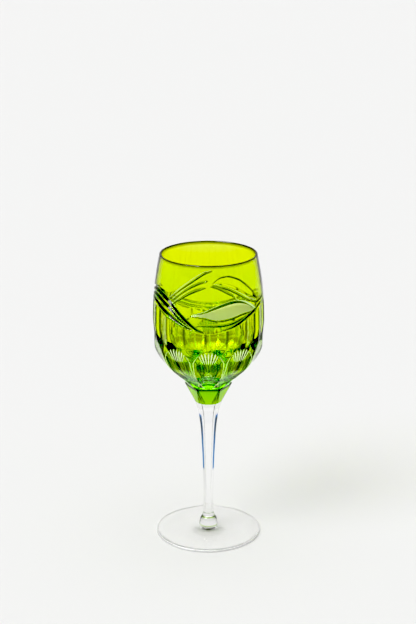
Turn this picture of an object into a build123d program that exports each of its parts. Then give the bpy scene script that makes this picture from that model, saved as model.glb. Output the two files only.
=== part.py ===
from build123d import *
import os
from math import cos, pi, radians, sin

# A cut-crystal wine glass: a green bowl and collar on a clear stem, base knop and foot.
# The origin is the centre of the ring that the foot rests on, +Z up, millimetres.

# Heights of the hot joints, from the foot up
height = 195.0
bowl_base = 106.5
collar_base = 94.0
stem_base = 11.0
knop_base = 4.6

# Bowl
rim_radius = 31.6
rim_wall = 1.5
rim_rounding = 0.6
bowl_radius = 36.3  # over the ridges between the flutes, at the widest level
widest = 150.0
cavity_radius = 33.4
cavity_floor = 114.0
cavity_flat = 4.0  # the radius of the small flat at the bottom of the cavity
past_end = 1.0  # how far a cutting profile runs past the glass

# The lower wall as (radius, height), from the ledge over the collar to the widest level
base_radius = 14.6  # of the flat face that is sealed to the collar
lower_wall = [
    (14.9, 108.0),
    (17.9, 112.0),
    (21.0, 115.0),
    (28.3, 122.0),
    (32.5, 129.0),
    (34.8, 137.0),
    (bowl_radius, widest),
]
ledge_slope = (0.8, 0.6)
petal_end_slope = (0.27, 1.0)
flute_slope = (0.12, 1.0)
upright_slope = (0.0, 1.0)

# Ten large petals round the bottom, one facing the front, with ribs between them that fade
# out at both their ends
petals = 10
petal_rib = 1.6
petal_top = 140.5
petal_fade = 9.0
petal_foot = 106.0
rib_heights = [
    petal_rib * max(0.0, min(1.0, (petal_top - level) / petal_fade, (level - petal_foot) / petal_fade))
    for radius, level in lower_wall
]
ribbed_wall = [(radius + rib, level) for (radius, level), rib in zip(lower_wall, rib_heights)]

# Sixteen flat flutes above the petals
flutes = 16
flute_turn = 8.2  # degrees from the front to the middle of the nearest flute
flute_foot = 118.0  # where the slanting run-in of the cut crosses the clear radius
flute_runout = 4.0  # the height over which a flute fades out into the round wall
flute_flat = 0.994 * cos(pi / flutes)
flute_wall = [(35.5 * flute_flat, 141.0), (bowl_radius * flute_flat, 146.0)]
flute_end = flute_wall[-1][1] + flute_runout
clear_radius = bowl_radius + 3.0  # outside the whole bowl

# Collar: a six-sided taper whose corners are cut off by a second, turned one
collar_sides = 6
collar_top_corner = 15.6
collar_foot_flat = 8.5
corner_cut_top = 15.2
corner_cut_foot = 8.7

# Six-sided stem, as (corner radius, height)
stem_sides = 6
stem_flat = cos(pi / stem_sides)
stem_corners = [
    (3.9, stem_base),
    (3.2, 20.0),
    (3.6, 44.0),
    (4.4, 63.0),
    (5.7, 80.0),
    (7.6, 90.0),
    (9.2, collar_base),
]

# Base knop and foot, as (radius, height)
knop_side = [(6.1, knop_base), (5.95, 6.4), (5.3, 9.2), (4.1, stem_base)]
foot_radius = 35.0
foot_edge = 1.4
foot_rounding = 0.3
foot_side = [(foot_radius, foot_edge), (20.0, 2.8), (10.0, 3.9), (6.2, knop_base)]
rest_inner_radius = 31.5
underside_rise = 1.3

os.makedirs("parts", exist_ok=True)


def upright(angle):
    """A sketch plane through the axis, with its x pointing out at this angle and its y up."""
    a = radians(angle)
    return Plane(origin=(0, 0, 0), x_dir=(cos(a), sin(a), 0), z_dir=(sin(a), -cos(a), 0))


# The bowl is blown from one green gather, thick at the bottom, then cut to petals and flutes.
with BuildPart() as bowl:
    with BuildSketch(Plane.XZ):
        with BuildLine():
            Polyline((0, bowl_base), (base_radius, bowl_base), ribbed_wall[0])
            Spline(*ribbed_wall, tangents=[ledge_slope, upright_slope])
            TangentArc(
                (bowl_radius, widest),
                (rim_radius, height - rim_rounding),
                tangent=upright_slope,
            )
            RadiusArc(
                (rim_radius, height - rim_rounding),
                (rim_radius - rim_rounding, height),
                -rim_rounding,
            )
            Polyline((rim_radius - rim_rounding, height), (0, height), (0, bowl_base))
        make_face()
    revolve(axis=Axis.Z)
    for slab in range(petals // 2):
        with BuildSketch(upright(180 / petals + 360 / petals * slab)):
            with BuildLine():
                Polyline(
                    (0, bowl_base - past_end),
                    (lower_wall[0][0], bowl_base - past_end),
                    lower_wall[0],
                )
                Spline(*lower_wall[:-1], tangents=[ledge_slope, petal_end_slope])
                TangentArc(
                    lower_wall[-2],
                    (clear_radius, petal_top + past_end),
                    tangent=petal_end_slope,
                )
                Polyline(
                    (clear_radius, petal_top + past_end),
                    (clear_radius, height + past_end),
                    (0, height + past_end),
                    (0, bowl_base - past_end),
                )
            make_face()
            mirror(about=Plane.YZ)
        extrude(amount=clear_radius, both=True, mode=Mode.INTERSECT)
    for slab in range(flutes // 2):
        with BuildSketch(upright(flute_turn + 360 / flutes * slab)):
            with BuildLine():
                Polyline(
                    (0, bowl_base - past_end),
                    (clear_radius, bowl_base - past_end),
                    (clear_radius, flute_foot),
                    flute_wall[0],
                )
                Spline(*flute_wall, tangents=[flute_slope, upright_slope])
                TangentArc(flute_wall[-1], (clear_radius, flute_end), tangent=upright_slope)
                Polyline(
                    (clear_radius, flute_end),
                    (clear_radius, height + past_end),
                    (0, height + past_end),
                    (0, bowl_base - past_end),
                )
            make_face()
            mirror(about=Plane.YZ)
        extrude(amount=clear_radius, both=True, mode=Mode.INTERSECT)
    with BuildSketch(Plane.XZ):
        with BuildLine():
            Line((0, cavity_floor), (cavity_flat, cavity_floor))
            EllipticalCenterArc(
                (cavity_flat, widest),
                cavity_radius - cavity_flat,
                widest - cavity_floor,
                start_angle=270,
                arc_size=90,
            )
            TangentArc(
                (cavity_radius, widest),
                (rim_radius - rim_wall, height - rim_rounding),
                tangent=upright_slope,
            )
            RadiusArc(
                (rim_radius - rim_wall, height - rim_rounding),
                (rim_radius - rim_wall + rim_rounding, height),
                rim_rounding,
            )
            Polyline(
                (rim_radius - rim_wall + rim_rounding, height),
                (rim_radius - rim_wall + rim_rounding, height + past_end),
                (0, height + past_end),
                (0, cavity_floor),
            )
        make_face()
    revolve(axis=Axis.Z, mode=Mode.SUBTRACT)
bowl.part.label = "bowl"
export_step(bowl.part, "parts/bowl.step")

# The collar is a green wafer of glass under the bowl, cut to twelve triangular facets.
with BuildPart() as collar:
    with BuildSketch(Plane.XY.offset(collar_base)):
        RegularPolygon(collar_foot_flat, collar_sides, major_radius=False)
    with BuildSketch(Plane.XY.offset(bowl_base)):
        RegularPolygon(collar_top_corner, collar_sides)
    loft()
    with BuildSketch(Plane.XY.offset(collar_base)):
        RegularPolygon(corner_cut_foot, collar_sides, major_radius=False, rotation=180 / collar_sides)
    with BuildSketch(Plane.XY.offset(bowl_base)):
        RegularPolygon(corner_cut_top, collar_sides, major_radius=False, rotation=180 / collar_sides)
    loft(mode=Mode.INTERSECT)
collar.part.label = "collar"
export_step(collar.part, "parts/collar.step")

# The clear stem is drawn down from the collar and cut to six long flats, one facing the front.
stem_foot_corner = stem_corners[0][0]
stem_top_corner = stem_corners[-1][0]
with BuildPart() as stem:
    for slab in range(stem_sides // 2):
        with BuildSketch(upright(180 / stem_sides + 360 / stem_sides * slab)):
            with BuildLine():
                Spline(*[(corner * stem_flat, level) for corner, level in stem_corners])
                Polyline(
                    (stem_top_corner * stem_flat, collar_base),
                    (0, collar_base),
                    (0, stem_base),
                    (stem_foot_corner * stem_flat, stem_base),
                )
            make_face()
            mirror(about=Plane.YZ)
        extrude(
            amount=2 * stem_top_corner,
            both=True,
            mode=Mode.ADD if slab == 0 else Mode.INTERSECT,
        )
stem.part.label = "stem"
export_step(stem.part, "parts/stem.step")

# The base knop is a clear bead of glass that joins the stem to the foot.
with BuildPart() as base_knop:
    with BuildSketch(Plane.XZ):
        with BuildLine():
            Spline(*knop_side)
            Polyline(knop_side[-1], (0, stem_base), (0, knop_base), knop_side[0])
        make_face()
    revolve(axis=Axis.Z)
base_knop.part.label = "base_knop"
export_step(base_knop.part, "parts/base_knop.step")

# The foot is a clear disc, hollowed underneath so that it stands on its outer ring.
with BuildPart() as foot:
    with BuildSketch(Plane.XZ):
        with BuildLine():
            ThreePointArc(
                (0, underside_rise),
                (rest_inner_radius / 2, underside_rise * 0.75),
                (rest_inner_radius, 0),
            )
            Polyline((rest_inner_radius, 0), (foot_radius, 0), (foot_radius, foot_edge))
            Spline(*foot_side)
            Polyline(foot_side[-1], (0, knop_base), (0, underside_rise))
        make_face()
    revolve(axis=Axis.Z)
    fillet(
        foot.edges().filter_by(lambda edge: edge.is_closed and edge.radius > foot_radius - 0.01),
        radius=foot_rounding,
    )
foot.part.label = "foot"
export_step(foot.part, "parts/foot.step")
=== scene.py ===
from math import cos, pi, radians, sin, sqrt

import bpy
import numpy as np
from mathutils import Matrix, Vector


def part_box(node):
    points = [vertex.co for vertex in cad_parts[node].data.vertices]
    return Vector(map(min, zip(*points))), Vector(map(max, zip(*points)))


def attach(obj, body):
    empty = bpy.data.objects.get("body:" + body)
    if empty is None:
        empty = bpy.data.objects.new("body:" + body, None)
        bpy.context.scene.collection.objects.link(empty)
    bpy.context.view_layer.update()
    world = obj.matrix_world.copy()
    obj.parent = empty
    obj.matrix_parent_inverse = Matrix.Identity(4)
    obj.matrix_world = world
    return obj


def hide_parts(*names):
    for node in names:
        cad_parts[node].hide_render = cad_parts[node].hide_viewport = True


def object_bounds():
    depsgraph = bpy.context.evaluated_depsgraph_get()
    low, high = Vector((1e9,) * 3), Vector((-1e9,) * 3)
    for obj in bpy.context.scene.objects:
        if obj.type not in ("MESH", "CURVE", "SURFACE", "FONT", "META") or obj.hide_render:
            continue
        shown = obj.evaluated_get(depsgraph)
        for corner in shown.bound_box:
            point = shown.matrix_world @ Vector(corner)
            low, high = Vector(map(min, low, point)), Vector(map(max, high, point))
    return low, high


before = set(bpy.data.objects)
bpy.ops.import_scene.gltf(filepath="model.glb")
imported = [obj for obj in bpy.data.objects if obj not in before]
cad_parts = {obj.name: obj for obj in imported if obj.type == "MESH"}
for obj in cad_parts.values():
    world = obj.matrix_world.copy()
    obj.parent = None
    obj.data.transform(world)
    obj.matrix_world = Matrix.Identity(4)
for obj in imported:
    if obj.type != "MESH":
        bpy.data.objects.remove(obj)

cad_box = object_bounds()


# ---- The view ---------------------------------------------------------------------------
# A long lens a little under a metre away, looking down on the glass from the front. The
# glass stands below the middle of an upright frame, with a lot of plain wall over it.

glass_height = cad_box[1].z
to_side, to_front, to_above = -0.0015, -4.63, 2.256  # in heights of the glass
look_down = 17.5  # degrees
view = bpy.data.cameras.new("view")
view.sensor_width = 36.0
view.lens = 84.0
view.clip_start = 0.01
view.clip_end = 50.0
camera = bpy.data.objects.new("view", view)
camera.location = (to_side * glass_height, to_front * glass_height, to_above * glass_height)
camera.rotation_euler = (radians(90 - look_down), 0, 0)
bpy.context.scene.collection.objects.link(camera)
bpy.context.scene.camera = camera


# ---- The bowl and its collar ------------------------------------------------------------
# One gather of yellow-green crystal, blown thin at the rim and left thick at the bottom.
# A cutter's wheel then takes out the leaves, the crossing ribbons, sixteen flutes and, round
# the bottom, ten petals, and brings the foot of the gather to a faceted collar that the stem
# is sealed to. What is not said otherwise is in millimetres.

mm = 0.001
bowl_low, bowl_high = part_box("bowl")
collar_low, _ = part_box("collar")

rim_height = bowl_high.z / mm
bowl_radius = bowl_high.x / mm
widest = 150.0
rim_radius = 31.6
rim_wall = 1.5
rim_rounding = 0.6
ledge_radius = 14.9
ledge_height = 108.0
cavity_radius = 33.4
cavity_floor = 114.0
cavity_flat = 4.0

columns = 960
around = np.arange(columns) * 2 * pi / columns - pi / 2  # from the front, anticlockwise


def shoulder(level, widest_radius, rim, start, end):
    """The radius of a wall that curves in from its widest level to the rim as one arc."""
    drop = widest_radius - rim
    arc = (drop**2 + (end - start) ** 2) / (2 * drop)
    return widest_radius - arc + sqrt(arc**2 - (level - start) ** 2)


# The lower wall as (height, radius), from the ledge over the collar to the widest level
lower_wall = [
    (ledge_height, ledge_radius),
    (112.0, 17.9),
    (115.0, 21.0),
    (122.0, 28.3),
    (129.0, 32.5),
    (137.0, 34.8),
    (widest, bowl_radius),
]


def smooth_curve(points, value):
    """A smooth line through points (x, y), read at x; its slope at a point is its neighbours'."""
    xs = np.array([p[0] for p in points])
    ys = np.array([p[1] for p in points])
    slopes = np.gradient(ys, xs)
    i = np.clip(np.searchsorted(xs, value) - 1, 0, len(xs) - 2)
    width = xs[i + 1] - xs[i]
    t = np.clip((value - xs[i]) / width, 0, 1)
    return (
        ys[i] * (1 + 2 * t) * (1 - t) ** 2
        + ys[i + 1] * t * t * (3 - 2 * t)
        + slopes[i] * width * t * (1 - t) ** 2
        - slopes[i + 1] * width * t * t * (1 - t)
    )


def outer_radius(level):
    """The bowl's outer radius before it is cut."""
    if level > widest:
        return shoulder(level, bowl_radius, rim_radius, widest, rim_height - rim_rounding)
    return float(smooth_curve(lower_wall, level))


# The ribbon's lower edge, where the flutes end: its height in front, how far it swings up at
# the sides, and how much lower it runs at the back than in front
ring_low = 152.0
ring_swing = 14.0
back_drop = 7.0
outlook = 36.0  # the radius at which angles are turned into lengths


def ribbon_foot(angle):
    """The height of the ribbon's lower edge at an angle in degrees from the front."""
    away = np.radians(angle)
    return ring_low + ring_swing * np.sin(away) ** 2 - back_drop * np.clip(-np.cos(away), 0, 1)


# The cuts. Each is a line of (angle, height) points, the angle in degrees to the right of
# the front, then the half width and the depth of its V groove.
front_cuts = [
    # three long strands that fan up to the right
    ([(-46, 171.6), (-31, 179.2), (-14.5, 186.4), (-5, 190.0), (4.5, 192.0)], 1.2, 1.15),
    ([(-41, 171.4), (-25, 179.0), (-12, 183.4), (-0.5, 185.7)], 1.1, 1.2),
    ([(-41, 168.6), (-26, 175.1), (-14, 179.1), (-3, 181.4)], 1.2, 1.35),
    # the stem under the upper leaf and the hooked line beside it
    ([(4, 183.2), (13, 181.6), (23, 179.4), (38, 174.3), (48, 170.6), (60, 168.0),
      (75, 169.5)], 1.2, 1.3),
    ([(2, 182.3), (11, 180.6), (20, 177.6), (27, 175.0), (30.5, 172.0)], 1.0, 1.25),
    # the lines under the large leaf and along the ring
    ([(-12, 156.8), (0, 157.0), (12.5, 156.8), (25, 157.8), (37, 160.0), (50, 162.2),
      (62, 165.2)], 1.0, 1.1),
    ([(14, 153.9), (24, 155.3), (33, 157.4), (43, 160.2), (56, 163.2), (68, 166.8)], 1.1, 1.3),
]
ribbon_cuts = [
    # the ribbon that comes down from the left, four grooves side by side
    ([(-124, 163.5), (-105, 169.5), (-88, 174.0), (-71, 175.0), (-57, 173.6), (-46, 171.0),
      (-38, 167.6), (-25, 160.8), (-12, 154.8), (-4, 152.9)], 1.35, 1.5),
    ([(-104, 166.5), (-86, 171.0), (-66, 171.2), (-48, 167.6), (-39, 164.4), (-30, 160.4),
      (-18, 155.4)], 1.25, 1.4),
    ([(-92, 167.6), (-74, 167.8), (-57, 165.0), (-41, 160.9), (-28, 157.2),
      (-17, 154.3)], 1.3, 1.5),
    ([(-78, 164.9), (-62, 162.6), (-48, 159.6), (-33, 156.1), (-20, 153.8)], 1.1, 1.3),
]
# two plain lines that follow the ribbon's lower edge round the back, each with how far it
# runs above that edge
back_angles = range(75, 286, 15)
back_lines = [
    ([(angle, ribbon_foot(angle) + rise) for angle in back_angles], half_width, depth)
    for rise, half_width, depth in ((1.6, 1.0, 1.1), (4.0, 0.8, 0.8))
]
strand_lean = 0.45

# The turns, in degrees, at which a cut is looked for; the second one finds the end of a cut
# that runs past the seam at the back, where the angles jump by a whole turn.
front = (0,)
front_and_seam = (0, -360)

# The upper and lower edges of the leaves
large_leaf_top = [(-18.5, 163.2), (-4.5, 165.4), (6.5, 168.1), (20, 170.6), (31, 171.1),
                  (41, 169.6), (51, 166.2), (56, 163.6)]
large_leaf_foot = [(-18.5, 163.0), (-4.5, 162.2), (3.5, 160.8), (11.5, 160.2), (24, 161.2),
                   (39, 163.0), (56, 163.4)]
upper_leaf_top = [(3.5, 183.8), (11, 187.2), (18, 188.2), (25, 187.9), (36, 185.1),
                  (45.5, 180.4), (53.5, 175.6), (61, 169.6)]
upper_leaf_foot = [(3.5, 183.4), (17, 182.2), (34, 177.3), (47, 172.9), (61, 169.3)]
small_leaf_top = [(-64, 177.4), (-50, 178.6), (-35, 179.0)]
small_leaf_foot = [(-64, 177.0), (-55, 174.2), (-48, 172.4), (-41, 174.9), (-35, 178.7)]

# The leaves as upper edge, lower edge, depth at the rib, and how far up the rib lies
large_leaf = (large_leaf_top, large_leaf_foot, 0.9, 0.8)
upper_leaf = (upper_leaf_top, upper_leaf_foot, 0.9, 0.3)
small_leaf = (small_leaf_top, small_leaf_foot, 0.6, 0.5)
full_leaf = 4.0  # a leaf less tall than this is cut less deep
least_leaf = 0.01

# The grooves along their edges: the line, half width, depth and lean
large_leaf_brow = (large_leaf_top, 1.1, 1.1, 0.3)
large_leaf_sill = (large_leaf_foot, 0.7, 0.6, 0.0)
upper_leaf_brow = (upper_leaf_top, 0.7, 0.6, -0.5)

line_pieces = 12  # straight pieces for each point of a cut's line
cut_reach = 3.0  # how far to each side of its line a cut is looked for
run_out = 0.35  # the smaller, the more suddenly a cut ends
far_off = 99.0


def smooth_line(points, pieces):
    """The points of a smooth line through a few given ones."""
    given = np.array(points, float)
    run = np.arange(len(given))
    fine = np.linspace(0, len(given) - 1, pieces)
    angle = smooth_curve(list(zip(run, given[:, 0])), fine)
    level = smooth_curve(list(zip(run, given[:, 1])), fine)
    return np.stack([np.radians(angle) * outlook, level], axis=1)


def mitre(cut_depth, flank, across, level, points, half_width, depth, turns, lean=0.0):
    """Deepens cut_depth by one V groove, which runs out to nothing at both its ends. A lean
    above 0 makes its lower side narrow and steep, and its upper side wide. flank becomes -1
    on its lower side and 1 on its upper side."""
    line = smooth_line(points, line_pieces * len(points))
    for turn in turns:
        ends = line + np.array([radians(turn) * outlook, 0])
        near = (
            (across > ends[:, 0].min() - cut_reach)
            & (across < ends[:, 0].max() + cut_reach)
            & (level > ends[:, 1].min() - cut_reach)
            & (level < ends[:, 1].max() + cut_reach)
        )
        if not near.any():
            continue
        px, py = across[near], level[near]
        best = np.full(px.shape, far_off)
        place = np.zeros(px.shape)
        above = np.zeros(px.shape)
        total = len(ends) - 1
        for k in range(total):
            a, b = ends[k], ends[k + 1]
            run = b - a
            t = np.clip(((px - a[0]) * run[0] + (py - a[1]) * run[1]) / (run @ run), 0, 1)
            away = np.hypot(px - a[0] - t * run[0], py - a[1] - t * run[1])
            closer = away < best
            best[closer] = away[closer]
            place[closer] = (k + t[closer]) / total
            above[closer] = np.sign((py - a[1]) * run[0] - (px - a[0]) * run[1])[closer]
        swell = np.clip(np.sin(pi * place), 0, 1) ** run_out
        groove = depth * (swell - best / (half_width * (1 + lean * above)))
        flank[near] = np.where(groove > np.maximum(cut_depth[near], 0), above, flank[near])
        cut_depth[near] = np.maximum(cut_depth[near], groove)


def leaf(cut_depth, angle, level, top, foot, depth, rib):
    """Cuts a leaf of two bevels that meet at a rib, and returns where it is."""
    on = (angle > top[0][0]) & (angle < top[-1][0])
    here = np.where(on, angle, top[0][0])
    low = smooth_curve(foot, here)
    tall = np.maximum(smooth_curve(top, here) - low, least_leaf)
    up = (level - low) / tall
    on &= (up > 0) & (up < 1)
    bevel = np.minimum(up / rib, (1 - up) / (1 - rib))
    full = depth * np.clip(tall / full_leaf, 0, 1)
    cut_depth[on] = np.maximum(cut_depth[on], (full * bevel)[on])
    return on


def step(value, start, end):
    """0 before start and 1 after end, with a soft step between."""
    t = np.clip((value - start) / (end - start), 0, 1)
    return t * t * (3 - 2 * t)


def window(value, opens, full, closes, shut):
    """1 between full and closes and 0 outside opens and shut, with a soft step at each end."""
    return step(value, opens, full) * (1 - step(value, closes, shut))


petals = 10
petal_top = 140.5
petal_foot = 106.0
petal_rib = 1.6  # how far the ribs between them stand out
petal_fade = 9.0  # the height over which a rib fades out at each of its ends
petal_hollow = 0.5  # how far a petal's sides stand out from a flat one

# The painted shade and painted highlights in a petal, which stand in for the light it bends: how
# strong each is, from 0 to 1
band_shade = 0.8
streak_shade = 0.5
gap_shade = 0.35
ray_bright = 0.9
speck_bright = 0.6
# where it opens, is full, closes and is shut, as shares of the way up the petal
streak_span = (0.1, 0.2, 0.5, 0.7)
speck_span = (0.34, 0.38, 0.42, 0.48)
band_span = (0.45, 0.51, 0.66, 0.74)
fan_span = (0.66, 0.74, 0.9, 0.97)
# where it is across the petal, as shares of the way from its middle to its rib
streak_sides = (0.2, 0.4, 0.85, 0.97)
band_sides = (0.7, 0.9)
speck_sides = (0.2, 0.3)
fan_sides = (0.95, 1.1)
# and how many half waves it has from the middle to the side of the petal or of the fan
jags, jag_height = 7, 0.035
ripples, ripple_slant, ripple_depth = 11, 9, 0.25
streak_waves, streak_spread = 8, 0.35
ray_waves, ray_sharpness = 6, 2.0
speck_waves = 16
# The fan's half width at its foot, how fast it grows above its start, and that start
fan_width, fan_growth, fan_start = 0.2, 1.3, 0.6


def petal_marks(u, v):
    """The painted shade and painted highlights of a petal, which stand in for the light it bends,
    u from -1 to 1 across it and v from 0 to 1 up it: a jagged band of painted shade over its
    middle, streaks of painted shade up its sides, a fan of painted highlights as rays with
    painted shade in the gaps at its top, and a few painted highlights as specks under the band."""
    opens, full, closes, shut = band_span
    jag = jag_height * np.cos(jags * pi * u)
    band = window(v, opens - jag, full - jag, closes + jag, shut + jag)
    band *= 1 - step(abs(u), *band_sides)
    band *= 1 - ripple_depth + ripple_depth * np.cos(ripples * pi * u + ripple_slant * v)
    streaks = window(abs(u), *streak_sides) * window(v, *streak_span)
    streaks *= np.clip(np.cos(streak_waves * pi * u / (streak_spread + v)), 0, 1)
    fan = u / (fan_width + fan_growth * max(v - fan_start, 0))
    rays = ray_sharpness * np.cos(ray_waves * pi * fan)
    crown = (1 - step(abs(fan), *fan_sides)) * window(v, *fan_span)
    gaps = crown * np.clip(-rays, 0, 1)
    crown *= np.clip(rays, 0, 1)
    specks = (1 - step(abs(u), *speck_sides)) * window(v, *speck_span)
    specks *= np.clip(np.cos(speck_waves * pi * u), 0, 1)
    shade = np.max([band_shade * band, streak_shade * streaks, gap_shade * gaps], axis=0)
    return shade, np.maximum(ray_bright * crown, speck_bright * specks)


def petalled(level, radius):
    """The lower wall cut to ten large hollow petals with ribs between them, how far each point is
    inside a petal, in mm of depth, and its painted shade and painted highlights in streaks."""
    sector = 2 * pi / petals
    off_centre = (around + pi / 2 + sector / 2) % sector - sector / 2
    u = 2 * off_centre / sector
    v = (level - ledge_height) / (petal_top - ledge_height)
    fade = min((petal_top - level) / petal_fade, (level - petal_foot) / petal_fade)
    rib = radius + petal_rib * np.clip(fade, 0, 1)
    face = radius / np.cos(off_centre) + petal_hollow * u**2
    inside = rib - face
    shade, painted_highlight = petal_marks(u, v)
    return np.minimum(face, rib), inside, (inside > 0) * shade, (inside > 0) * painted_highlight


flutes = 16
flute_turn = radians(8.2)
flute_foot = 136.0
flute_arch = 5.5  # how much higher a flute's foot is at its ridges than in its middle
flute_run_in = 6.0  # the height over which it grows to its full depth
flute_run_out = 0.7  # and over which it ends under the ribbon
flute_hollow = 0.8
ridge_core = 1.6
ridge_fade = 0.7


def fluted(level, radius, top_gap):
    """How deep the sixteen hollow panels with round feet are cut, and how near each point is
    to a ridge between them, from 0 to 1; top_gap is the height left to the ribbon."""
    sector = 2 * pi / flutes
    off_centre = (around + pi / 2 - flute_turn + sector / 2) % sector - sector / 2
    off = abs(2 * off_centre / sector)
    panel = radius * cos(sector / 2) / np.cos(off_centre) - flute_hollow * (1 - off**2)
    foot = flute_foot + flute_arch * (1 - np.sqrt(1 - off**2))
    there = np.clip(top_gap / flute_run_out, 0, 1) * step(level, foot, foot + flute_run_in)
    from_ridge = (1 - off) * sector / 2 * radius
    ridge = np.clip(ridge_core - from_ridge / ridge_fade, 0, 1)
    return (radius - panel) * there, ridge * there


# The painted highlights and painted shade on the cuts, which stand in for the light they turn
# back and bend away: how bright the painted highlights on the upper flanks are, in general, in
# the ribbon and on the brow of the large leaf; how dark the painted shade on the ridges between
# the flutes and on the edges of the petals is, and how bright the painted highlights on the
# petals' ribs are
flank_bright = 0.2
ribbon_bright = 0.42
leaf_brow_bright = 0.7
ridge_shade = 0.7
petal_edge_shade = 0.5
petal_edge_core = 1.5
petal_edge_width = 0.15  # in mm of depth inside the petal
rib_bright = 0.6
rib_near, rib_far = -0.05, -0.3  # in mm of depth, negative outside the petal
rib_top_gap = 3.0
# Where they are: the angles from the front to which the lower flanks get painted shade and the
# ribbon gets painted highlights; the point from which a line falls to the right over the ribbon;
# and the angles to the left over which the ribbon's painted highlights grow
shaded_reach = 100
ribbon_reach = 85
ribbon_start = (-46, 172)
ribbon_fall = 0.35
ribbon_growth = (16, 32)


def cut_wall(levels):
    """The cut outer wall as one row of radii per level, with the masks of the satin leaf, of the
    painted shade and of the painted highlights."""
    angle_row = (np.degrees(around + pi / 2) + 180) % 360 - 180
    angle, level = np.meshgrid(angle_row, np.array(levels))
    across = np.radians(angle) * outlook
    cut = np.zeros(angle.shape)
    flank = np.zeros(angle.shape)

    def groove(points, half_width, depth, lean=0.0, turns=front):
        mitre(cut, flank, across, level, points, half_width, depth, turns, lean)

    for line in front_cuts:
        groove(*line, lean=strand_lean)
    for line in ribbon_cuts + back_lines:
        groove(*line, turns=front_and_seam)
    satin = leaf(cut, angle, level, *large_leaf)
    leaf(cut, angle, level, *upper_leaf)
    leaf(cut, angle, level, *small_leaf)
    plain = flank == 0
    groove(*large_leaf_brow)
    leaf_brow = plain & (flank > 0)
    groove(*large_leaf_sill)
    groove(*upper_leaf_brow)
    over_ring = level > ribbon_foot(angle)
    cut = np.where(over_ring, cut, 0)
    satin = satin & over_ring & (flank == 0)
    # Painted shade on the lower flanks of the grooves, painted highlights on their upper flanks
    shade = np.where(over_ring & (flank < 0) & (abs(angle) < shaded_reach), 1.0, 0)
    under_line = level < ribbon_start[1] - ribbon_fall * (angle - ribbon_start[0])
    in_ribbon = (abs(angle) < ribbon_reach) & under_line
    catches = flank_bright + ribbon_bright * step(-angle, *ribbon_growth) * in_ribbon
    catches = np.where(leaf_brow, leaf_brow_bright, catches)
    painted_highlight = np.where(over_ring & (flank > 0), catches, 0)
    ring = ribbon_foot(angle_row)
    rows = []
    for i, level_here in enumerate(levels):
        radius = outer_radius(level_here)
        low, inside, streaks, rays = petalled(level_here, radius)
        high, ridge = fluted(level_here, radius, ring - level_here)
        rows.append(np.where(level_here > ring, radius - cut[i], low - high))
        # Painted shade on the ridges between the flutes and along the petals' edges, painted
        # highlights on the petals' ribs
        ridge = ridge_shade * ridge * (inside < 0)
        edge = np.clip(petal_edge_core - inside / petal_edge_width, 0, 1)
        edge *= petal_edge_shade * (inside > 0)
        shade[i] = np.max([shade[i], ridge, edge, streaks], axis=0)
        on_rib = (inside < rib_near) * (inside > rib_far)
        rib = rib_bright * on_rib * step(petal_top - level_here, rib_top_gap, petal_fade)
        painted_highlight[i] = np.max([painted_highlight[i], rib, rays], axis=0)
    return rows, satin, shade, painted_highlight


half_sixth = pi / 6  # of a turn, between a flat's middle and its corner


def six_sided(half_flat, turn):
    """The radii of a regular six-sided outline, from its half width across flats."""
    sector = 2 * half_sixth
    off_centre = (around + pi / 2 - turn + sector / 2) % sector - sector / 2
    return half_flat / np.cos(off_centre)


collar_top = bowl_low.z / mm
collar_foot = collar_low.z / mm
collar_foot_flat = 8.5
collar_top_flat = 15.6 * cos(half_sixth)
corner_cut_foot = 8.4
corner_cut_top = 15.7

# The painted shade on the collar, which stands in for the light its facets bend away: how strong
# it is, from 0 to 1, and over which shares of the collar's height its streaks and its painted
# dark upper edge grow
least_corner_shade = 0.3
top_shade = 0.9
facet_edge_shade = 0.8
facet_edge_width = 0.12
streak_growth = (0.1, 0.4)
top_growth = (0.8, 0.95)
streaks_round = 42
streak_slant = 5


def collar_row(share):
    """The collar's outline, at a share of its height: two six-sided tapers that cross. With it
    comes the painted shade on its corner facets, its facets' edges and its upper edge."""
    flats = six_sided(collar_foot_flat + (collar_top_flat - collar_foot_flat) * share, 0)
    corners = six_sided(corner_cut_foot + (corner_cut_top - corner_cut_foot) * share, half_sixth)
    streaks = 0.5 + 0.5 * np.cos(streaks_round * (around + pi / 2) + streak_slant * share)
    streaks *= step(share, *streak_growth)
    corner_painted_shade = least_corner_shade + (1 - least_corner_shade) * streaks
    collar_painted_shade = np.where(corners < flats, corner_painted_shade, top_shade * step(share, *top_growth))
    edge = facet_edge_shade * np.clip(1 - abs(corners - flats) / facet_edge_width, 0, 1)
    return np.minimum(flats, corners), np.maximum(collar_painted_shade, edge)


sharp_edge = radians(16)  # faces that meet at less than this are shaded as one smooth surface


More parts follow.
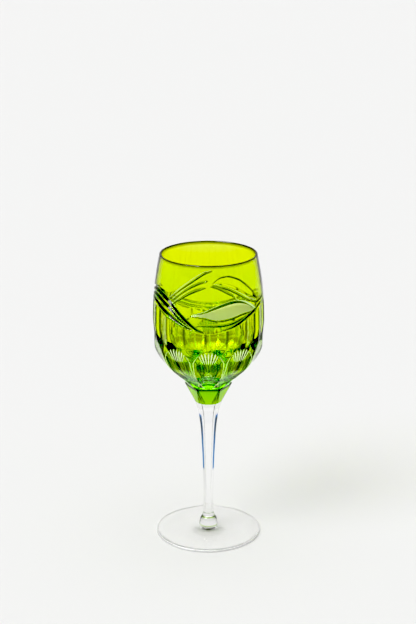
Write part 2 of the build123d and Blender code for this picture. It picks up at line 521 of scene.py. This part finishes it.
def turned(name, rings, marks):
    """A closed mesh through rings of (height, radii) from one end to the other, with painted
    marks as one row of values per ring. The end rings are closed to a point on the axis."""
    points = []
    for level, radii in rings:
        r = np.broadcast_to(np.asarray(radii, float), (columns,))
        points.append(
            np.stack([r * np.cos(around), r * np.sin(around), np.full(columns, level)], 1)
        )
    count = len(rings)
    body = np.concatenate(points + [[(0, 0, rings[0][0])], [(0, 0, rings[-1][0])]]) * mm
    first, last = count * columns, count * columns + 1
    here = np.arange(columns)
    beside = (here + 1) % columns
    quads = [
        np.stack([low + here, low + beside, low + columns + beside, low + columns + here], 1)
        for low in range(0, (count - 1) * columns, columns)
    ]
    faces = np.concatenate(quads).tolist()
    faces += [(first, int(b), int(a)) for a, b in zip(here, beside)]
    end = (count - 1) * columns
    faces += [(last, int(end + a), int(end + b)) for a, b in zip(here, beside)]
    mesh = bpy.data.meshes.new(name)
    mesh.from_pydata(body.tolist(), [], faces)
    mesh.shade_smooth()
    mesh.set_sharp_from_angle(angle=sharp_edge)
    for painted, rows in marks.items():
        layer = mesh.attributes.new(painted, "FLOAT", "POINT")
        layer.data.foreach_set("value", np.concatenate([*rows, [0, 0]]).astype(np.float32))
    piece = bpy.data.objects.new(name, mesh)
    bpy.context.scene.collection.objects.link(piece)
    return piece


class Tone:
    """One output of a finish's nodes, so that shading can be written as sums."""

    def __init__(self, tree, socket):
        self.tree = tree
        self.socket = socket

    def maths(self, operation, first, second):
        return node(self.tree, "ShaderNodeMath", {"operation": operation}, {0: first, 1: second})

    def __add__(self, other):
        return self.maths("ADD", self, other)

    def __mul__(self, other):
        return self.maths("MULTIPLY", self, other)

    def __rsub__(self, other):
        return self.maths("SUBTRACT", other, self)


def node(tree, kind, settings=None, inputs=None, output=0):
    """Adds a node, sets it up, fills or links its sockets, and returns one output."""
    made = tree.nodes.new(kind)
    for name, value in (settings or {}).items():
        setattr(made, name, value)
    for name, value in (inputs or {}).items():
        if isinstance(value, Tone):
            tree.links.new(value.socket, made.inputs[name])
        else:
            made.inputs[name].default_value = value
    return Tone(tree, made.outputs[output])


def mark(tree, name):
    """A mark painted on a mesh, from 0 to 1."""
    return node(tree, "ShaderNodeAttribute", {"attribute_name": name}, output="Fac")


def twice(tone):
    """A mark doubled, but never over 1."""
    return tone.maths("MINIMUM", tone * 2.0, 1.0)


colour_inputs = (6, 7)  # of a Mix node
colour_output = 2


def blend(factor, first, second):
    """A colour between two."""
    colours = dict(zip(colour_inputs, (first, second)))
    return node(
        factor.tree, "ShaderNodeMix", {"data_type": "RGBA"},
        {"Factor": factor, **colours}, output=colour_output,
    )


def polished(tree, place):
    """The surface of hand-polished glass, which is never quite even."""
    waves = node(
        tree, "ShaderNodeTexNoise", inputs={"Vector": place, "Scale": 90.0, "Detail": 2.0}
    )
    return node(
        tree, "ShaderNodeBump", inputs={"Strength": 0.12, "Distance": 0.0004, "Height": waves}
    )


def new_finish(name):
    """An empty material with its node tree and output."""
    finish = bpy.data.materials.new(name)
    finish.use_nodes = True
    finish.node_tree.nodes.clear()
    out = finish.node_tree.nodes.new("ShaderNodeOutputMaterial")
    return finish, finish.node_tree, out


# The green crystal's colour carries painted light: painted shade darkens it towards a deep green
# on the cuts, and painted highlights turn it into a rough mirror, from lime to near white.
green, tree, out = new_finish("green_crystal")
satin_mark = mark(tree, "satin")
shade_mark = mark(tree, "shade")
painted_highlight_mark = mark(tree, "painted_highlight")
unshaded = 1.0 - shade_mark
bare_glass = (0.95, 1.0, 0.78, 1)
painted_shade_colour = (0.0, 0.006, 0.001, 1)
weak_highlight_lime = (0.42, 0.86, 0.01, 1)
glint = (1.0, 1.0, 0.9, 1)
tint_with_painted_shade = blend(1.0 - unshaded * unshaded, bare_glass, painted_shade_colour)
painted_reflection = twice(painted_highlight_mark)
painted_reflection_colour = blend(painted_highlight_mark * painted_highlight_mark, weak_highlight_lime, glint)
colour_with_painted_light = blend(painted_reflection, tint_with_painted_shade, painted_reflection_colour)
place = node(tree, "ShaderNodeTexCoord", output="Object")
frost = node(
    tree, "ShaderNodeTexNoise", inputs={"Vector": place, "Scale": 900.0, "Detail": 4.0}
)
# The satin leaf is frosted and coated; the little mirror on it is a painted sheen that makes it
# look whiter.
satin_painted_sheen = 0.22
glass = node(
    tree, "ShaderNodeBsdfPrincipled",
    inputs={
        "Base Color": colour_with_painted_light,
        "Normal": polished(tree, place),
        "Metallic": painted_reflection + satin_mark * satin_painted_sheen,
        "IOR": 1.54,
        "Specular IOR Level": 0.05,
        "Transmission Weight": 1.0,
        "Roughness": satin_mark * (frost * 0.3 + 0.3) + painted_highlight_mark * 0.3,
        "Coat Weight": satin_mark,
        "Coat Roughness": 0.55,
        "Coat IOR": 2.5,
    },
)
colour = node(
    tree, "ShaderNodeVolumeAbsorption",
    inputs={"Color": (0.954, 0.99, 0.05, 1), "Density": 1000.0},
)
tree.links.new(glass.socket, out.inputs["Surface"])
tree.links.new(colour.socket, out.inputs["Volume"])

rim_foot = rim_height - rim_rounding
inner_rim_radius = rim_radius - rim_wall
plain_from = 193.0  # above the highest cut
band_step = 0.27  # small enough for the V grooves
flute_levels = list(np.linspace(ledge_height, widest, 90))
band_levels = list(np.arange(widest + 0.25, plain_from - 0.1, band_step))
neck_levels = list(np.linspace(plain_from, rim_foot, 4))
outer_levels = flute_levels + band_levels + neck_levels

rings = []
marks = {"satin": [], "shade": [], "painted_highlight": []}


def add_ring(level, radii, satin=0.0, shade=0.0, painted_highlight=0.0):
    """One more ring of the bowl, from the collar's foot over the rim to the cavity."""
    rings.append((level, radii))
    for name, value in (("satin", satin), ("shade", shade), ("painted_highlight", painted_highlight)):
        marks[name].append(np.broadcast_to(np.asarray(value, float), (columns,)))


for share in np.linspace(0.2, 1, 5):
    add_ring(collar_foot, collar_row(0)[0] * share)
for share in np.linspace(0.04, 1, 25):
    radii, collar_painted_shade = collar_row(share)
    add_ring(collar_foot + (collar_top - collar_foot) * share, radii, shade=collar_painted_shade)
for rise, radius in ((0.0, 13.4), (0.1, 14.0), (0.6, 14.5)):  # the nick over the collar
    add_ring(collar_top + rise, radius)
for level, *row in zip(outer_levels, *cut_wall(outer_levels)):
    add_ring(level, *row)
# The rim's rounding carries painted shade all round, a dark line along the rim.
rim_shade = 0.8
for turn in np.linspace(0.25, 1, 4) * pi / 2:
    add_ring(
        rim_foot + rim_rounding * sin(turn),
        rim_radius - rim_rounding + rim_rounding * cos(turn),
        shade=rim_shade,
    )
for turn in np.linspace(0, 1, 5) * pi / 2:
    add_ring(
        rim_foot + rim_rounding * cos(turn),
        inner_rim_radius + rim_rounding - rim_rounding * sin(turn),
        shade=rim_shade,
    )
for level in np.linspace(rim_foot, widest, 24)[1:]:
    add_ring(level, shoulder(level, cavity_radius, inner_rim_radius, widest, rim_foot))
for turn in np.linspace(0, 1, 40)[1:] * pi / 2:
    add_ring(
        widest - (widest - cavity_floor) * sin(turn),
        cavity_flat + (cavity_radius - cavity_flat) * cos(turn),
    )
add_ring(cavity_floor, cavity_flat / 2)

bowl = turned("bowl", rings, marks)
bowl.data.materials.append(green)
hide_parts("bowl", "collar")
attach(bowl, "root")


# ---- The stem ---------------------------------------------------------------------------
# Clear crystal drawn down from the collar while hot, then cut to six long flats with one
# facing the front. It is sealed to the collar above and to the base knop below.

columns = 96
around = np.arange(columns) * 2 * pi / columns - pi / 2
seal = 0.01  # the gap that keeps two sealed faces from lying on each other

# The clear crystal's colour carries painted light: painted reflections of blue to navy on the
# stem's side flats, painted green round the knop's lower end, and on the foot's edge a painted
# reflection, a rough mirror that makes it pale.
clear, tree, out = new_finish("clear_crystal")
sky_mark = mark(tree, "sky")
edge_mark = mark(tree, "edge")
caught_mark = mark(tree, "caught")
colourless = (1.0, 1.0, 1.0, 1)
sky_colour = (0.01, 0.12, 0.55, 1)
night_colour = (0.002, 0.006, 0.02, 1)
painted_bowl_green = (0.22, 0.50, 0.01, 1)
sky_blue = blend(sky_mark * sky_mark, sky_colour, night_colour)
side_painted_reflection = blend(twice(sky_mark), colourless, sky_blue)
clear_with_painted_light = blend(caught_mark, side_painted_reflection, painted_bowl_green)
place = node(tree, "ShaderNodeTexCoord", output="Object")
glass = node(
    tree, "ShaderNodeBsdfPrincipled",
    inputs={
        "Base Color": clear_with_painted_light,
        "Metallic": edge_mark * 0.85,
        "Normal": polished(tree, place),
        "IOR": 1.52,
        "Transmission Weight": 1.0,
        "Roughness": edge_mark * 0.5,
    },
)
tree.links.new(glass.socket, out.inputs["Surface"])

stem_low, stem_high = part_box("stem")
stem_foot = stem_low.z / mm
stem_top = stem_high.z / mm
stem_corners = [
    (stem_foot, 3.9),
    (20.0, 3.2),
    (44.0, 3.6),
    (63.0, 4.4),
    (80.0, 5.7),
    (90.0, 7.6),
    (stem_top, 9.2),
]


def stem_row(level):
    """The stem's six-sided outline at a level."""
    return six_sided(float(smooth_curve(stem_corners, level)) * cos(half_sixth), 0)


# The painted blue reflections on the side flats: from which to which sine of the angle from the
# front they grow, where they open, are full, close and are shut, and where they go dark
glint_sides = (0.82, 0.9)
glint_levels = (44.0, 46.0, 82.0, 86.0)
darkening = (52.0, 76.0)
least_glint = 0.55


def side_glint(level):
    """The painted reflection of blue on the side flats in the stem's upper part, navy at its top.
    """
    side = step(abs(np.sin(around + pi / 2)), *glint_sides)
    depth = least_glint + (1 - least_glint) * step(level, *darkening)
    return side * window(level, *glint_levels) * depth


rings = [(stem_foot + seal, stem_row(stem_foot) / 2)]
glints = [side_glint(stem_foot)]
for level in np.linspace(stem_foot, stem_top, 70):
    row = stem_row(level)
    level = min(max(level, stem_foot + seal), stem_top - seal)
    rings.append((level, row))
    glints.append(side_glint(level))
rings.append((stem_top - seal, stem_row(stem_top) / 2))
glints.append(side_glint(stem_top))
stem = turned("stem", rings, {"sky": glints})
stem.data.materials.append(clear)
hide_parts("stem")
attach(stem, "root")


# ---- The base knop ----------------------------------------------------------------------
# A small bead of clear crystal, pressed flat above and below where it is sealed between the stem
# and the foot. A line round its lower end is painted green, painted light that stands in for the
# green of the bowl above seen through it.

knop_low, knop_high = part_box("base_knop")
knop_foot = knop_low.z / mm
knop_top = knop_high.z / mm
knop_side = [(knop_foot, 6.1), (6.4, 5.95), (9.2, 5.3), (knop_top, 4.1)]
# Painted green, standing in for the bowl above seen through the knop
painted_green_line = (4.9, 5.3)  # the levels between which it fades out
foot_face_ring = 2.5  # inside the flat face that is sealed to the foot
top_face_ring = 2.0  # and inside the one sealed to the stem

rings = [(knop_foot + seal, foot_face_ring)]
caught = [np.zeros(columns)]
for level in np.linspace(knop_foot, knop_top, 24):
    radius = float(smooth_curve(knop_side, level))
    rings.append((min(max(level, knop_foot + seal), knop_top - seal), radius))
    caught.append(np.full(columns, 1 - step(level, *painted_green_line)))
rings.append((knop_top - seal, top_face_ring))
caught.append(np.zeros(columns))
base_knop = turned("base_knop", rings, {"caught": caught})
base_knop.data.materials.append(clear)
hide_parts("base_knop")
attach(base_knop, "root")


# ---- The foot ---------------------------------------------------------------------------
# A clear disc spun out thin to its edge, a little hollow underneath, so that the glass stands on
# the outer ring alone. Its cut edge is given a painted reflection, a rough mirror, so that it
# looks pale.

columns = 256
around = np.arange(columns) * 2 * pi / columns - pi / 2
_, foot_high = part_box("foot")
foot_radius = foot_high.x / mm
foot_top = foot_high.z / mm
rest_inner_radius = 31.5
underside_rise = 1.3
foot_edge = 1.4
foot_rounding = 0.3
foot_top_radius = 6.2
top_face_ring = 2.8
middle_ring = 2.0
foot_side = [(foot_top_radius, foot_top), (10.0, 3.9), (20.0, 2.8), (foot_radius, foot_edge)]

rings = []
for radius in np.linspace(middle_ring, rest_inner_radius, 24):
    rings.append((underside_rise * (1 - (radius / rest_inner_radius) ** 2), radius))
for turn in np.linspace(0, 1, 5) * pi / 2:
    rings.append((foot_rounding * (1 - cos(turn)), foot_radius - foot_rounding * (1 - sin(turn))))
for turn in np.linspace(0, 1, 5) * pi / 2:
    rings.append((
        foot_edge - foot_rounding + foot_rounding * sin(turn),
        foot_radius - foot_rounding * (1 - cos(turn)),
    ))
for radius in np.linspace(foot_radius - foot_rounding, foot_top_radius, 40)[1:]:
    rings.append((float(smooth_curve(foot_side, radius)), radius))
rings[-1] = (foot_top - seal, foot_top_radius)
rings.append((foot_top - seal, top_face_ring))
edge_low = 0.2  # the pale edge begins over this level
edge_depth = 0.35  # and reaches this far in
# The painted reflection on the cut edge: a rough mirror that makes it look pale
painted_pale_edge = [
    np.full(columns, float(level > edge_low and radius > foot_radius - edge_depth))
    for level, radius in rings
]
foot = turned("foot", rings, {"edge": painted_pale_edge})
foot.data.materials.append(clear)
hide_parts("foot")
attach(foot, "root")


# ---- The table and the light ------------------------------------------------------------
# A plain white table that runs on far all round and a pale wall behind it. In front and at
# the sides the room goes from pale at the table's height through blue to navy, which draws
# the edges of the glass, and is pale again high up. A broad light is overhead and a small
# strong one is high in front on the left.

floor_mesh = bpy.data.meshes.new("floor")
reach = 9.0
floor_gap = 0.00005  # keeps the foot's ring from lying in the table's face
corners = [(-reach, -reach, 0), (reach, -reach, 0), (reach, reach, 0), (-reach, reach, 0)]
floor_mesh.from_pydata(corners, [], [(0, 1, 2, 3)])
floor = bpy.data.objects.new("floor", floor_mesh)
floor.location = (0, 0, -floor_gap)
bpy.context.scene.collection.objects.link(floor)
white, tree, out = new_finish("white_table")
paint = node(
    tree, "ShaderNodeBsdfPrincipled",
    inputs={
        "Base Color": (0.43, 0.43, 0.427, 1),
        "Roughness": 0.6,
        "Specular IOR Level": 0.0,
        "Emission Color": (1.0, 1.0, 1.0, 1),
        "Emission Strength": 0.26,
    },
)
tree.links.new(paint.socket, out.inputs["Surface"])
floor_mesh.materials.append(white)

world = bpy.data.worlds.new("room")
bpy.context.scene.world = world
world.use_nodes = True
tree = world.node_tree
tree.nodes.clear()
facing = node(tree, "ShaderNodeTexCoord", output="Generated")
to_back = node(tree, "ShaderNodeSeparateXYZ", inputs={0: facing}, output="Y")
to_top = node(tree, "ShaderNodeSeparateXYZ", inputs={0: facing}, output="Z")  # 1 is overhead


def fade(value, start, end):
    """0 below start and 1 above end, with a soft step between, for a direction in the room."""
    return node(
        tree, "ShaderNodeMapRange", {"interpolation_type": "SMOOTHSTEP"},
        {"Value": value, "From Min": start, "From Max": end},
    )


key_place = Vector((-0.50, -0.42, 0.76)).normalized()
to_key = node(
    tree, "ShaderNodeVectorMath", {"operation": "DOT_PRODUCT"},
    {0: facing, 1: key_place}, output="Value",
)
navy = (0.006, 0.014, 0.032, 1)
blue = (0.05, 0.15, 0.42, 1)
pale = (0.84, 0.84, 0.83, 1)
broad_light = (2.4, 2.4, 2.4, 1)
key_light = (10.0, 10.0, 10.0, 1)
low_room = blend(fade(to_top, 0.08, 0.2), blend(fade(to_top, 0.02, 0.07), pale, blue), navy)
side_room = blend(fade(to_top, 0.45, 0.6), low_room, pale)
room = blend(fade(to_back, 0.25, 0.5), side_room, pale)
overhead = blend(fade(to_top, 0.86, 0.90), room, broad_light)
lit = blend(fade(to_key, 0.955, 0.972), overhead, key_light)
sky = node(tree, "ShaderNodeBackground", inputs={"Color": lit, "Strength": 1.0})
world_out = tree.nodes.new("ShaderNodeOutputWorld")
tree.links.new(sky.socket, world_out.inputs["Surface"])

picture = bpy.context.scene.view_settings
picture.view_transform = "Standard"
picture.use_curve_mapping = True
picture.curve_mapping.black_level = (0.09, 0.09, 0.10)  # deepens the darkest tones
picture.curve_mapping.update()
light = bpy.context.scene.cycles
light.blur_glossy = 0.0  # light that comes down through the glass stays sharp and whole
light.max_bounces = 32
light.transmission_bounces = 32
light.transparent_max_bounces = 32
